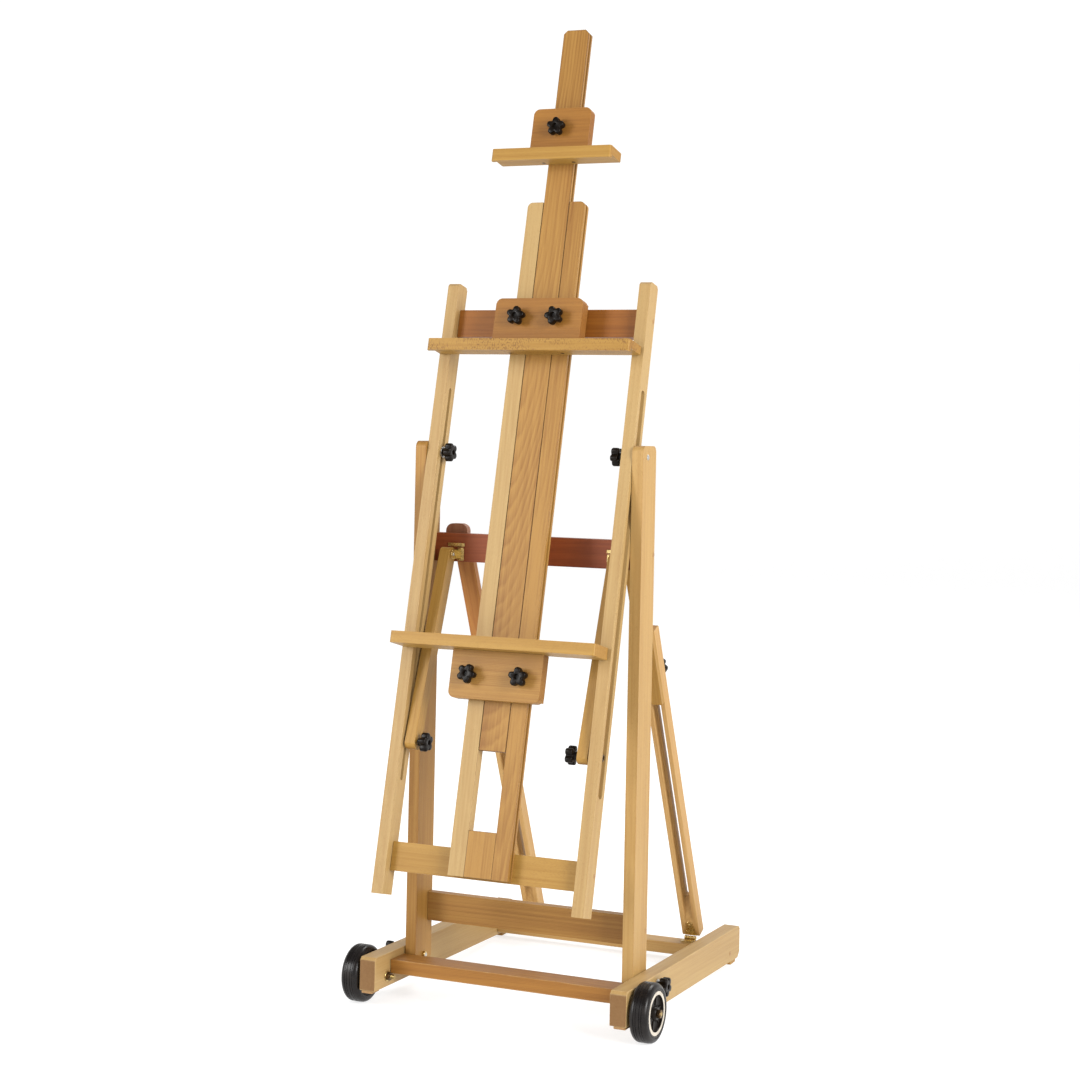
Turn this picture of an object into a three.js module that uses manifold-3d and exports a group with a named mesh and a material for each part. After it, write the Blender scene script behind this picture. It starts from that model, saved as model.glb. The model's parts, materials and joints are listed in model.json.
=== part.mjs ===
// H-frame studio easel in solid beech, on two front wheels and two rear feet.
// Millimetres, +Z up, +X to the right as the painter faces the easel, +Y to the back.
// The origin is on the floor, under the middle of the easel's bounding box.

import * as THREE from "three";
import { mergeVertices } from "three/addons/utils/BufferGeometryUtils.js";
import Module from "manifold-3d";

const wasm = await Module();
wasm.setup();

// ---------- driving dimensions ----------

const GAP = 0.3;                      // clearance between pieces that touch
const SIDES = { left: -1, right: 1 };

// Stand: its own frame has Z = 0 on the underside of the runners and Y = 0 on the uprights' front.
const STAND_LEAN = 2.8;               // degrees, the wheels lift the front of the base
const BOX_CENTRE_Y = 151.7;           // middle of the bounding box, from the uprights' front foot

const RUNNER = { inner: 227.5, outer: 258.5, front: -110, rear: 467, height: 60, clip: 10 };
const FRONT_BAR = { front: -53, rear: -2, bottom: 22, top: 47 };
const REAR_BAR = { front: 395, rear: 438, bottom: 6, top: 28.5 };
const FOOT = { inner: 231, outer: 255, front: 426, rear: 454 };

const WHEEL = { y: -64, z: 19, radius: 51, inner: 262.5, outer: 297, rim: 38 };
const AXLE = { radius: 4, start: 212, end: 305, nutAcross: 14, nutThick: 6.5 };

const UPRIGHT = { inner: 204, outer: 225, depth: 62, top: 987, corner: 12 };
const BASE_BOLT = { y: 31, z: 41 };
const MID_RAIL = { front: 43, rear: 62, bottom: 766, top: 818 };
const LOW_RAIL = { front: 43, rear: 62, bottom: 102, top: 154 };

// H-frame: its own frame has its origin on the upper pivot, Z up along the side rails.
const PIVOT = { y: 22, z: 967 };
const FRAME_LEAN = 13;                // degrees between the H-frame and the uprights
const SIDE_RAIL = { inner: 181, outer: 203, half: 18, bottom: -799, top: 318.5, clip: 5 };
const SLOT = { bottom: -599, top: 121, half: 4.5, headHalf: 8, headFloor: 196 };
const BOARD = { front: -1.7, rear: 18 };
const TOP_BOARD = { bottom: 219, top: 271 };
const BOTTOM_BOARD = { bottom: -757, top: -706 };

const COLUMN = { front: -21, rear: -2, bottom: -754, top: 472 };
const GUIDE = { inner: 26.8, outer: 57.5, corner: 10 };
const FILLER_TOP = -674;
const MAST = { half: 25.6, bottom: -535.5, top: 811, clip: 7 };
const GROOVE = { front: -14, rear: -8, depth: 4.3 };

// Link: from a bracket on the middle rail down to the slot in the side rail.
const LINK = { inner: 157, outer: 177, half: 13, pivotY: 22, pivotZ: 780, boltBelowPivot: 529 };

// Strut: a channel hinged on the rear bar and a slat that slides in it.
const STRUT = { x: 169, hingeY: 435, hingeZ: 33, headY: 91, headZ: 800, headTop: 835 };
const CHANNEL = { half: 18, front: 4.2, rear: 28, bottom: 2, top: 671 };
const CHANNEL_GROOVE = { half: 8.5, rear: 16, start: 36, full: 80 };
const CHANNEL_SLOT = { half: 3.6, bottom: 85, top: 658 };
const SLAT = { half: 17, front: -8, rear: 3.8, bottom: 523 };
const TONGUE = { half: 7.8, rear: 15.3, top: 706 };
const STRUT_KNOB_UP = 577;

// Shelves: "at" is the ledge's lower face, "up" says that the block stands on the ledge,
// "lip" is the part of the ledge's depth that hangs below the rest of its lower face.
const SHELVES = {
  top_holder: { at: 538, thick: 23, half: 119.5, front: -72, lip: 9, block: [58, 87, 19],
    up: true, holds: [MAST.half, 24], knobs: [-4], knobUp: 46 },
  middle_shelf: { at: 174, thick: 22, half: 199.3, front: -78, lip: 9, block: [86.5, 85, 22],
    up: true, holds: [GUIDE.outer, 22], knobs: [-38, 38], knobUp: 48 },
  lower_shelf: { at: -364, thick: 21, half: 198, front: -80, lip: 0, block: [88, 85.5, 22],
    up: false, holds: [GUIDE.outer, 22], knobs: [-49.7, 49.7], knobUp: 43 },
};
const LIP_DROP = 6.5;
const LIP_SLOPE = 0.8;
const CLEAT = { rear: -5, inset: 4, tongue: 3.8, clear: 0.8, slack: 0.4 };
const BLOCK_CORNER = 12;

const KNOB = { radius: 17.3, waist: 11.9, lobes: 5, neckRadius: 7.5, neck: 6, head: 14, studRadius: 3 };
const BOLT_RADIUS = 4;

// Facets of round bars, of each rounded corner, of the wheels and between two lobes of a knob.
const FACETS = { bar: 12, arc: 5, wheel: 32, lobe: 4 };

// ---------- materials ----------

function material(name, color, roughness, metalness = 0) {
  const made = new THREE.MeshStandardMaterial({ color, roughness, metalness });
  made.name = name;
  return made;
}

const FINISHES = {
  beech: () => material("beech", 0xd9b583, 0.5),
  honey: () => material("honey_beech", 0xc59a5c, 0.5),
  steamed: () => material("steamed_beech", 0x93603a, 0.5),
  black: () => material("black_plastic", 0x1c1a19, 0.4),
  rubber: () => material("rubber", 0x232020, 0.45),
  brass: () => material("brass", 0xb49650, 0.35, 1),
  steel: () => material("steel", 0x9a9892, 0.35, 1),
};

// ---------- solids ----------

function toSolid(geometry) {
  const bare = geometry.clone();
  bare.deleteAttribute("normal");
  bare.deleteAttribute("uv");
  const welded = mergeVertices(bare, 1e-4);
  const mesh = new wasm.Mesh({
    numProp: 3,
    vertProperties: new Float32Array(welded.attributes.position.array),
    triVerts: new Uint32Array(welded.index.array),
  });
  return new wasm.Manifold(mesh);
}

function toGeometry(solid) {
  const mesh = solid.getMesh();
  const geometry = new THREE.BufferGeometry();
  geometry.setAttribute("position", new THREE.BufferAttribute(new Float32Array(mesh.vertProperties), 3));
  geometry.setIndex(new THREE.BufferAttribute(new Uint32Array(mesh.triVerts), 1));
  return geometry;
}

function join(first, ...others) {
  return toGeometry(others.reduce((solid, other) => solid.add(toSolid(other)), toSolid(first)));
}

function cut(first, ...others) {
  return toGeometry(others.reduce((solid, other) => solid.subtract(toSolid(other)), toSolid(first)));
}

function span(low, high) {
  return [Math.min(low, high), Math.max(low, high)];
}

function box(xs, ys, zs) {
  const [x0, x1] = span(...xs);
  const [y0, y1] = span(...ys);
  const [z0, z1] = span(...zs);
  const geometry = new THREE.BoxGeometry(x1 - x0, y1 - y0, z1 - z0);
  return geometry.translate((x0 + x1) / 2, (y0 + y1) / 2, (z0 + z1) / 2);
}

// A round bar along X.
function barX(radius, xs, y = 0, z = 0, facets = FACETS.bar) {
  const [x0, x1] = span(...xs);
  const geometry = new THREE.CylinderGeometry(radius, radius, x1 - x0, facets);
  return geometry.rotateZ(Math.PI / 2).translate((x0 + x1) / 2, y, z);
}

// A round bar along Y.
function barY(radius, x, ys, z) {
  const [y0, y1] = span(...ys);
  const geometry = new THREE.CylinderGeometry(radius, radius, y1 - y0, FACETS.bar);
  return geometry.translate(x, (y0 + y1) / 2, z);
}

function circlePath(x, y, radius) {
  return new THREE.Path().absarc(x, y, radius, 0, 2 * Math.PI, true);
}

function extrude(shape, depth) {
  return new THREE.ExtrudeGeometry(shape, { depth, bevelEnabled: false, curveSegments: FACETS.arc });
}

// An outline drawn in the Y-Z plane, given thickness along X.
function slabX(shape, xs) {
  const [x0, x1] = span(...xs);
  const turn = new THREE.Matrix4().makeBasis(
    new THREE.Vector3(0, 1, 0), new THREE.Vector3(0, 0, 1), new THREE.Vector3(1, 0, 0));
  return extrude(shape, x1 - x0).applyMatrix4(turn).translate(x0, 0, 0);
}

// An outline drawn in the X-Z plane, given thickness along Y.
function slabY(shape, ys) {
  const [y0, y1] = span(...ys);
  return extrude(shape, y1 - y0).rotateX(Math.PI / 2).translate(0, y1, 0);
}

// An outline drawn in the X-Y plane, given thickness along Z.
function slabZ(shape, zs) {
  const [z0, z1] = span(...zs);
  return extrude(shape, z1 - z0).translate(0, 0, z0);
}

// A rectangle whose corners, from lower left and counter-clockwise, are rounded by their own radii.
function roundedRect([x0, x1], [y0, y1], [lowLeft, lowRight, topRight, topLeft]) {
  const shape = new THREE.Shape();
  const quarter = Math.PI / 2;
  const corner = (x, y, radius, start) => {
    if (radius > 0) shape.absarc(x, y, radius, start, start + quarter, false);
    else shape.lineTo(x, y);
  };
  shape.moveTo(x0 + lowLeft, y0);
  corner(x1 - lowRight, y0 + lowRight, lowRight, -quarter);
  corner(x1 - topRight, y1 - topRight, topRight, 0);
  corner(x0 + topLeft, y1 - topLeft, topLeft, quarter);
  corner(x0 + lowLeft, y0 + lowLeft, lowLeft, 2 * quarter);
  shape.closePath();
  return shape;
}

function polygon(points) {
  return new THREE.Shape(points.map(([x, y]) => new THREE.Vector2(x, y)));
}

// A slot with round ends along Z, cut through X.
function slotX(half, xs, [z0, z1]) {
  return slabX(roundedRect([-half, half], [z0, z1], [half, half, half, half]), xs);
}

function mesh(name, geometry, finish) {
  const made = new THREE.Mesh(geometry, FINISHES[finish]());
  made.name = name;
  return made;
}

function radians(degrees) {
  return THREE.MathUtils.degToRad(degrees);
}

// A group that leans back by the given angle about X, with its origin at (x, y, z).
function leaning(degrees, x, y, z) {
  const group = new THREE.Group();
  group.position.set(x, y, z);
  group.rotation.x = -radians(degrees);
  return group;
}

// ---------- base ----------

const leanSin = Math.sin(radians(STAND_LEAN));
const leanCos = Math.cos(radians(STAND_LEAN));

// Height of the stand's origin over the floor, so that the wheels just touch it.
const STAND_LIFT = WHEEL.radius + WHEEL.y * leanSin - WHEEL.z * leanCos;

function floorAt(y) {
  return (y * leanSin - STAND_LIFT) / leanCos;
}

function runner(side) {
  const { inner, outer, front, rear, height, clip } = RUNNER;
  const outline = polygon([
    [front, 0], [rear - clip, 0], [rear, clip], [rear, height - clip / 2],
    [rear - clip / 2, height], [front + clip / 2, height], [front, height - clip / 2],
  ]);
  outline.holes.push(circlePath(BASE_BOLT.y, BASE_BOLT.z, BOLT_RADIUS + 0.5));
  outline.holes.push(circlePath(WHEEL.y, WHEEL.z, AXLE.radius + 0.4));
  return slabX(outline, [side * inner, side * outer]);
}

function foot(side) {
  const outline = polygon([
    [FOOT.front, floorAt(FOOT.front)], [FOOT.rear, floorAt(FOOT.rear)],
    [FOOT.rear, -GAP], [FOOT.front, -GAP],
  ]);
  return slabX(outline, [side * FOOT.inner, side * FOOT.outer]);
}

function crossbar({ front, rear, bottom, top }) {
  const end = RUNNER.inner - GAP;
  return box([-end, end], [front, rear], [bottom, top]);
}

function axle(side) {
  const { radius, start, end, nutAcross, nutThick } = AXLE;
  const nutRadius = nutAcross / 2 / Math.cos(Math.PI / 6);
  const innerNut = [side * (RUNNER.inner - GAP - nutThick), side * (RUNNER.inner - GAP)];
  const outerNut = [side * (end - nutThick), side * (end - 1)];
  return join(
    barX(radius, [side * start, side * end], WHEEL.y, WHEEL.z),
    barX(nutRadius, innerNut, WHEEL.y, WHEEL.z, 6),
    barX(nutRadius, outerNut, WHEEL.y, WHEEL.z, 6));
}

// A ring turned about X: the profile lists [x, radius] pairs and closes on itself.
function ringX(side, profile) {
  const points = profile.map(([x, radius]) => new THREE.Vector2(radius, side * x));
  if (side > 0) points.reverse();
  points.push(points[0].clone());
  const ring = new THREE.LatheGeometry(points, FACETS.wheel);
  return ring.rotateZ(-Math.PI / 2).translate(0, WHEEL.y, WHEEL.z);
}

function tyre(side) {
  const { inner, outer, radius, rim } = WHEEL;
  const shoulder = 8;
  return ringX(side, [
    [inner, rim + GAP], [outer, rim + GAP], [outer, radius - shoulder],
    [outer - 0.3 * shoulder, radius - 0.3 * shoulder], [outer - shoulder, radius],
    [inner + shoulder, radius], [inner + 0.3 * shoulder, radius - 0.3 * shoulder],
    [inner, radius - shoulder],
  ]);
}

function hub(side) {
  const { inner, outer, rim } = WHEEL;
  const bore = AXLE.radius + 0.4;
  const boss = 11;
  const dish = 6;
  return ringX(side, [
    [inner - 2, bore], [outer + 0.8, bore], [outer + 0.8, boss], [outer - dish, boss + 3],
    [outer - dish, rim - 8], [outer - 1, rim - 6], [outer - 1, rim], [inner + 1, rim],
    [inner + 1, rim - 6], [inner + dish, rim - 8], [inner + dish, boss + 3], [inner - 2, boss],
  ]);
}

function strutHinge(side) {
  const x = side * STRUT.x;
  const half = 15;
  const barrel = 3.5;
  const top = REAR_BAR.top + GAP;
  return join(
    box([x - half, x + half], [STRUT.hingeY - 24, STRUT.hingeY], [top, top + 2]),
    barX(barrel, [x - half, x + half], STRUT.hingeY, STRUT.hingeZ));
}

// ---------- uprights ----------

function upright(side) {
  const { inner, outer, depth, top, corner } = UPRIGHT;
  const round = BASE_BOLT.y;
  const outline = roundedRect([0, depth], [BASE_BOLT.z - round, top], [round, round, corner, corner]);
  outline.holes.push(circlePath(BASE_BOLT.y, BASE_BOLT.z, BOLT_RADIUS + 0.5));
  outline.holes.push(circlePath(PIVOT.y, PIVOT.z, BOLT_RADIUS + 0.4));
  return slabX(outline, [side * inner, side * outer]);
}

function crossRail({ front, rear, bottom, top }) {
  const end = UPRIGHT.inner - GAP;
  return box([-end, end], [front, rear], [bottom, top]);
}

// An angle plate on the middle rail, with the pin that the link turns on.
function linkBracket(side) {
  const { pivotY, pivotZ, inner, outer } = LINK;
  const plate = MID_RAIL.front - GAP;
  const cheek = inner - 0.4;
  return join(
    box([side * (cheek - 14), side * cheek], [plate - 2, plate], [pivotZ - 12, pivotZ + 12]),
    box([side * (cheek - 2), side * cheek], [pivotY - 9, plate], [pivotZ - 9, pivotZ + 9]),
    barX(3, [side * (cheek - 4), side * (outer + 1.5)], pivotY, pivotZ));
}

// A block with a round top behind the middle rail, with two cheeks that take the strut's slat.
function strutHead(side) {
  const x = side * STRUT.x;
  const half = 22;
  const front = MID_RAIL.rear + GAP;
  const back = front + 14;
  const outline = roundedRect(
    [x - half, x + half], [MID_RAIL.bottom + 3, STRUT.headTop], [3, 3, 14, 14]);
  const cheeks = [-1, 1].map((edge) => box(
    [x + edge * (SLAT.half + 1), x + edge * (SLAT.half + 5)],
    [back - 1, STRUT.headY + 9], [STRUT.headZ - 12, STRUT.headZ + 12]));
  return join(slabY(outline, [front, back]), ...cheeks);
}

// ---------- H-frame ----------

// A bolt head outside the upright, its shank through the side rail's slot, and its washer inside.
function pivotBolt(side) {
  const washer = SIDE_RAIL.inner - GAP;
  const head = UPRIGHT.outer + GAP;
  return join(
    barX(BOLT_RADIUS, [side * (washer - 1), side * (head + 1)]),
    barX(10, [side * (washer - 2), side * washer]),
    barX(5, [side * head, side * (head + 2)]));
}

function sideRail(side) {
  const { inner, outer, half, bottom, top, clip } = SIDE_RAIL;
  const outline = polygon([
    [-half, bottom], [half, bottom], [half, top - clip], [half - clip, top],
    [clip - half, top], [-half, top - clip],
  ]);
  const ends = [SLOT.bottom, SLOT.top];
  return cut(
    slabX(outline, [side * inner, side * outer]),
    slotX(SLOT.half, [side * (inner - 1), side * (outer + 1)], ends),
    slotX(SLOT.headHalf, [side * SLOT.headFloor, side * (outer + 1)], ends));
}

function frameBoard({ bottom, top }) {
  const end = SIDE_RAIL.inner - GAP;
  return box([-end, end], [BOARD.front, BOARD.rear], [bottom, top]);
}

// Grooves along both edges of a mast, or along the outer edge of a guide.
function grooveX(side, edge) {
  const zs = [COLUMN.bottom - 10, MAST.top + 10];
  return box([side * (edge - GROOVE.depth), side * (edge + 1)], [GROOVE.front, GROOVE.rear], zs);
}

function guide(side) {
  const { inner, outer, corner } = GUIDE;
  const xs = span(side * inner, side * outer);
  const corners = side > 0 ? [0, 0, corner, 0] : [0, 0, 0, corner];
  const outline = roundedRect(xs, [COLUMN.bottom, COLUMN.top], corners);
  return cut(slabY(outline, [COLUMN.front, COLUMN.rear]), grooveX(side, outer));
}

function filler() {
  const half = GUIDE.inner - GAP;
  return box([-half, half], [COLUMN.front, COLUMN.rear], [COLUMN.bottom, FILLER_TOP]);
}

function mast() {
  const { half, bottom, top, clip } = MAST;
  const outline = polygon([
    [-half, bottom], [half, bottom], [half, top - clip], [half - clip, top],
    [clip - half, top], [-half, top - clip],
  ]);
  const board = slabY(outline, [COLUMN.front, COLUMN.rear - GAP]);
  return cut(board, grooveX(1, half), grooveX(-1, half));
}

// ---------- shelves ----------

const SHELF_REAR = COLUMN.front - 0.4;

function ledge({ at, thick, half, front, lip }) {
  const outline = roundedRect([-half, half], [front, SHELF_REAR], [4, 4, 2, 2]);
  const board = slabZ(outline, [at, at + thick]);
  if (lip === 0) return board;
  const recess = polygon([
    [front + lip - LIP_SLOPE, at - 1], [front + lip, at + LIP_DROP],
    [SHELF_REAR + 1, at + LIP_DROP], [SHELF_REAR + 1, at - 1],
  ]);
  return cut(board, slabX(recess, [-half - 1, half + 1]));
}

function blockHeights({ at, thick, up, block }) {
  const height = block[1];
  return up ? [at + thick + GAP, at + thick + height] : [at - height, at - GAP];
}

// The face plate, with a cleat behind each end whose tongue runs in the groove that it holds.
function block(shelf) {
  const [half, , thick] = shelf.block;
  const [edge, width] = shelf.holds;
  const [z0, z1] = blockHeights(shelf);
  const round = BLOCK_CORNER;
  const corners = shelf.up ? [0, 0, round, round] : [round, round, 0, 0];
  const plate = slabY(roundedRect([-half, half], [z0, z1], corners), [SHELF_REAR - thick, SHELF_REAR]);
  const zs = [z0 + CLEAT.inset, z1 - CLEAT.inset];
  const cleats = Object.values(SIDES).flatMap((side) => {
    const near = edge + CLEAT.clear;
    const bar = box([side * near, side * (near + width)], [SHELF_REAR - 1, CLEAT.rear], zs);
    const tongue = box([side * (edge - CLEAT.tongue), side * (near + 1)],
      [GROOVE.front + CLEAT.slack, GROOVE.rear - CLEAT.slack], zs);
    return [bar, tongue];
  });
  const holes = shelf.knobs.map((x) =>
    barY(KNOB.studRadius + 0.4, x, [SHELF_REAR - thick - 1, SHELF_REAR + 0.2], knobHeight(shelf)));
  return cut(join(plate, ...cleats), ...holes);
}

function knobHeight(shelf) {
  const [z0, z1] = blockHeights(shelf);
  return shelf.up ? z0 + shelf.knobUp : z1 - shelf.knobUp;
}

// ---------- links and struts ----------

const linkBolt = {
  y: PIVOT.y - LINK.boltBelowPivot * Math.sin(radians(FRAME_LEAN)),
  z: PIVOT.z - LINK.boltBelowPivot * Math.cos(radians(FRAME_LEAN)),
};
const LINK_LENGTH = Math.hypot(linkBolt.y - LINK.pivotY, linkBolt.z - LINK.pivotZ);
const LINK_LEAN = THREE.MathUtils.radToDeg(Math.atan2(LINK.pivotY - linkBolt.y, LINK.pivotZ - linkBolt.z));

function link(side) {
  const { inner, outer, half } = LINK;
  const outline = roundedRect([-half, half], [-LINK_LENGTH - 14, half], [half - 2, half - 2, half, half]);
  outline.holes.push(circlePath(0, 0, 3.5));
  outline.holes.push(circlePath(0, -LINK_LENGTH, KNOB.studRadius + 1.4));
  return slabX(outline, [side * inner, side * outer]);
}

// The bolt that runs in the side rail's slot, with its head sunk in the outer face.
function slotBolt(side) {
  return join(
    barX(BOLT_RADIUS, [side * (SIDE_RAIL.inner + GAP), side * (SLOT.headFloor + 2)]),
    barX(7, [side * (SLOT.headFloor + GAP), side * (SIDE_RAIL.outer - 1.5)]));
}

const slatMid = (SLAT.front + SLAT.rear) / 2;
const strutReach = Math.hypot(STRUT.hingeY - STRUT.headY, STRUT.headZ - STRUT.hingeZ);
const STRUT_LEAN = THREE.MathUtils.radToDeg(
  Math.atan2(STRUT.hingeY - STRUT.headY, STRUT.headZ - STRUT.hingeZ) + Math.asin(slatMid / strutReach));

// The groove for the slat's tongue rises to nothing over a solid foot.
function channel() {
  const { half, front, rear, bottom, top } = CHANNEL;
  const body = box([-half, half], [front, rear], [bottom, top]);
  const { half: grooveHalf, rear: floor, start, full } = CHANNEL_GROOVE;
  const groove = slabX(polygon([
    [front - 1, start], [front, start], [floor, full], [floor, top + 1], [front - 1, top + 1],
  ]), [-grooveHalf, grooveHalf]);
  const ends = [CHANNEL_SLOT.bottom, CHANNEL_SLOT.top];
  const round = CHANNEL_SLOT.half;
  const slot = slabY(roundedRect([-round, round], ends, [round, round, round, round]), [front, rear + 1]);
  return cut(body, groove, slot);
}

function slat() {
  const { half, front, rear, bottom } = SLAT;
  const top = strutReach + 8;
  const plank = slabY(roundedRect([-half, half], [bottom, top], [0, 0, 5, 5]), [front, rear]);
  const tongue = box([-TONGUE.half, TONGUE.half], [rear - 1, TONGUE.rear], [bottom, TONGUE.top]);
  return join(plank, tongue);
}

// ---------- knobs ----------

// A five-lobed knob along +X with its seat at X = 0; the stud goes the other way.
function knobAlongX(studRadius, studLength, endNut) {
  const { radius, waist, lobes, neckRadius, neck, head } = KNOB;
  const steps = FACETS.lobe * lobes;
  const middle = (radius + waist) / 2;
  const swing = (radius - waist) / 2;
  const points = Array.from({ length: steps }, (_, step) => {
    const angle = (2 * Math.PI * step) / steps;
    const reach = middle + swing * Math.cos(lobes * angle);
    return [reach * Math.sin(angle), reach * Math.cos(angle)];
  });
  const parts = [barX(neckRadius, [0, neck + 1])];
  if (studLength > 0) parts.push(barX(studRadius, [-studLength, 1]));
  if (endNut) parts.push(barX(7, [-studLength, -studLength + endNut]));
  return join(slabX(polygon(points), [neck, neck + head]), ...parts);
}

// "aim" is the direction that the knob's head points in.
function knob(name, [x, y, z], aim, stud = {}) {
  const { radius = KNOB.studRadius, length = 0, endNut = 0 } = stud;
  const geometry = knobAlongX(radius, length, endNut);
  const made = mesh(name, geometry, "black");
  made.position.set(x, y, z);
  made.quaternion.setFromUnitVectors(new THREE.Vector3(1, 0, 0), aim);
  return made;
}

const OUTWARD = { left: new THREE.Vector3(-1, 0, 0), right: new THREE.Vector3(1, 0, 0) };
const INWARD = { left: OUTWARD.right, right: OUTWARD.left };
const FORWARD = new THREE.Vector3(0, -1, 0);
const BACKWARD = new THREE.Vector3(0, 1, 0);

// ---------- assembly ----------

const easel = new THREE.Group();
easel.position.set(0, -BOX_CENTRE_Y, 0);
const stand = leaning(STAND_LEAN, 0, 0, STAND_LIFT);
const frame = leaning(FRAME_LEAN, 0, PIVOT.y, PIVOT.z);
easel.add(stand);
stand.add(frame);

for (const [name, side] of Object.entries(SIDES)) {
  stand.add(
    mesh(`runner_${name}`, runner(side), "beech"),
    mesh(`rear_foot_${name}`, foot(side), "honey"),
    mesh(`axle_${name}`, axle(side), "brass"),
    mesh(`tyre_${name}`, tyre(side), "rubber"),
    mesh(`hub_${name}`, hub(side), "black"),
    mesh(`strut_hinge_${name}`, strutHinge(side), "brass"),
    mesh(`upright_${name}`, upright(side), "beech"),
    mesh(`link_bracket_${name}`, linkBracket(side), "brass"),
    mesh(`strut_head_${name}`, strutHead(side), "steamed"));
  const baseStud = { radius: BOLT_RADIUS, length: 62, endNut: 5 };
  const baseSeat = [side * (RUNNER.outer + 2), BASE_BOLT.y, BASE_BOLT.z];
  stand.add(knob(`base_knob_${name}`, baseSeat, OUTWARD[name], baseStud));
}
stand.add(
  mesh("front_crossbar", crossbar(FRONT_BAR), "honey"),
  mesh("rear_crossbar", crossbar(REAR_BAR), "honey"),
  mesh("upright_middle_rail", crossRail(MID_RAIL), "steamed"),
  mesh("upright_lower_rail", crossRail(LOW_RAIL), "honey"));

for (const [name, side] of Object.entries(SIDES)) {
  const swinging = leaning(LINK_LEAN, 0, LINK.pivotY, LINK.pivotZ);
  swinging.add(mesh(`link_${name}`, link(side), "beech"));
  const linkSeat = [side * (LINK.inner - 2.5), 0, -LINK_LENGTH];
  swinging.add(knob(`link_knob_${name}`, linkSeat, INWARD[name], { radius: BOLT_RADIUS, length: 22 }));
  stand.add(swinging);

  const strut = leaning(-STRUT_LEAN, side * STRUT.x, STRUT.hingeY, STRUT.hingeZ);
  strut.add(
    mesh(`strut_channel_${name}`, channel(), "beech"),
    mesh(`strut_slat_${name}`, slat(), "steamed"),
    knob(`strut_knob_${name}`, [0, CHANNEL.rear + 0.5, STRUT_KNOB_UP], BACKWARD, { length: 12.5 }));
  stand.add(strut);
}

for (const [name, side] of Object.entries(SIDES)) {
  const slotBoltMesh = mesh(`slot_bolt_${name}`, slotBolt(side), "steel");
  slotBoltMesh.position.z = -LINK.boltBelowPivot;
  frame.add(
    mesh(`pivot_bolt_${name}`, pivotBolt(side), "steel"),
    mesh(`side_rail_${name}`, sideRail(side), "beech"),
    mesh(`column_guide_${name}`, guide(side), "beech"),
    slotBoltMesh,
    knob(`pivot_knob_${name}`, [side * (SIDE_RAIL.inner - 2.7), 0, 0], INWARD[name]));
}
frame.add(
  mesh("frame_top_board", frameBoard(TOP_BOARD), "steamed"),
  mesh("frame_bottom_board", frameBoard(BOTTOM_BOARD), "honey"),
  mesh("column_filler", filler(), "honey"),
  mesh("inner_mast", mast(), "honey"));

for (const [name, shelf] of Object.entries(SHELVES)) {
  const thick = shelf.block[2];
  frame.add(
    mesh(`${name}_ledge`, ledge(shelf), "honey"),
    mesh(`${name}_block`, block(shelf), "honey"));
  shelf.knobs.forEach((x, index) => {
    const label = shelf.knobs.length > 1 ? `${name}_knob_${Object.keys(SIDES)[index]}` : `${name}_knob`;
    const seat = [x, SHELF_REAR - thick - 0.5, knobHeight(shelf)];
    frame.add(knob(label, seat, FORWARD, { length: thick + 0.1 }));
  });
}

export default easel;
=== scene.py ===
"""A studio H-frame easel in beech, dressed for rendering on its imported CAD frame.

Metres and the row frame throughout: +Z up, +X to the painter's right, +Y away from the painter.
Lengths of small fittings are written in millimetres and turned into metres by MM.
"""

import json
import math

import bmesh
import bpy
from mathutils import Euler, Matrix, Vector


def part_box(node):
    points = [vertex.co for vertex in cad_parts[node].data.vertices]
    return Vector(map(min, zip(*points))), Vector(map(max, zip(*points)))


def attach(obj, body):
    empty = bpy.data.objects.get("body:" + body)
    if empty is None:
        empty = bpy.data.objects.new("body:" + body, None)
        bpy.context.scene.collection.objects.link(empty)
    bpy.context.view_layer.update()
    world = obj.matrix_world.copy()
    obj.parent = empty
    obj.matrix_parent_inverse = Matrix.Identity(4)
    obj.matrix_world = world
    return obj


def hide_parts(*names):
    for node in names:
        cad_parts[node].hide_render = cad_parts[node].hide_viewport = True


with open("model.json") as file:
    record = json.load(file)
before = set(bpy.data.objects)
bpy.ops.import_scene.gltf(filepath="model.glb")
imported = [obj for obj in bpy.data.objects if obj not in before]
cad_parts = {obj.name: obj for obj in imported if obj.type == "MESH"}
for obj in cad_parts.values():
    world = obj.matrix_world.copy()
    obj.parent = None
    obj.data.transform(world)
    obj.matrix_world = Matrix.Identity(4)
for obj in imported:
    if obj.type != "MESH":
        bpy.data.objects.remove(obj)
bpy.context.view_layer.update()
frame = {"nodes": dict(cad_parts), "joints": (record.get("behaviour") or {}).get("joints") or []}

MM = 0.001
SIDES = {"left": -1, "right": 1}
X = Vector((1, 0, 0))

# ---------- directions and places, from the frame's joints ----------

STAND_LEAN = math.radians(2.8)
joints = {joint["name"]: joint for joint in frame["joints"]}


def joint_at(name):
    return Vector(joints[name]["pos_m"])


def joint_axis(name):
    return Vector(joints[name]["axis"])


def behind(up):
    """The direction square to X and to a leaning piece's up that points to the easel's back."""
    return Vector((0, up.z, -up.y))


def spot(origin, up, x, back, high):
    """The point x right of, back behind and high above an origin, in millimetres, on leaning axes."""
    return origin + (x * X + back * behind(up) + high * up) * MM


STAND_UP = Vector((0, math.sin(STAND_LEAN), math.cos(STAND_LEAN)))
STAND_BACK = behind(STAND_UP)
FRAME_UP = joint_axis("frame_height")
FRAME_BACK = behind(FRAME_UP)
STRUT_UP = joint_axis("strut_length_left")
LINK_UP = joint_at("link_swing_left") - joint_at("link_knob_left_turn")
LINK_UP.x = 0
LINK_UP.normalize()

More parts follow.
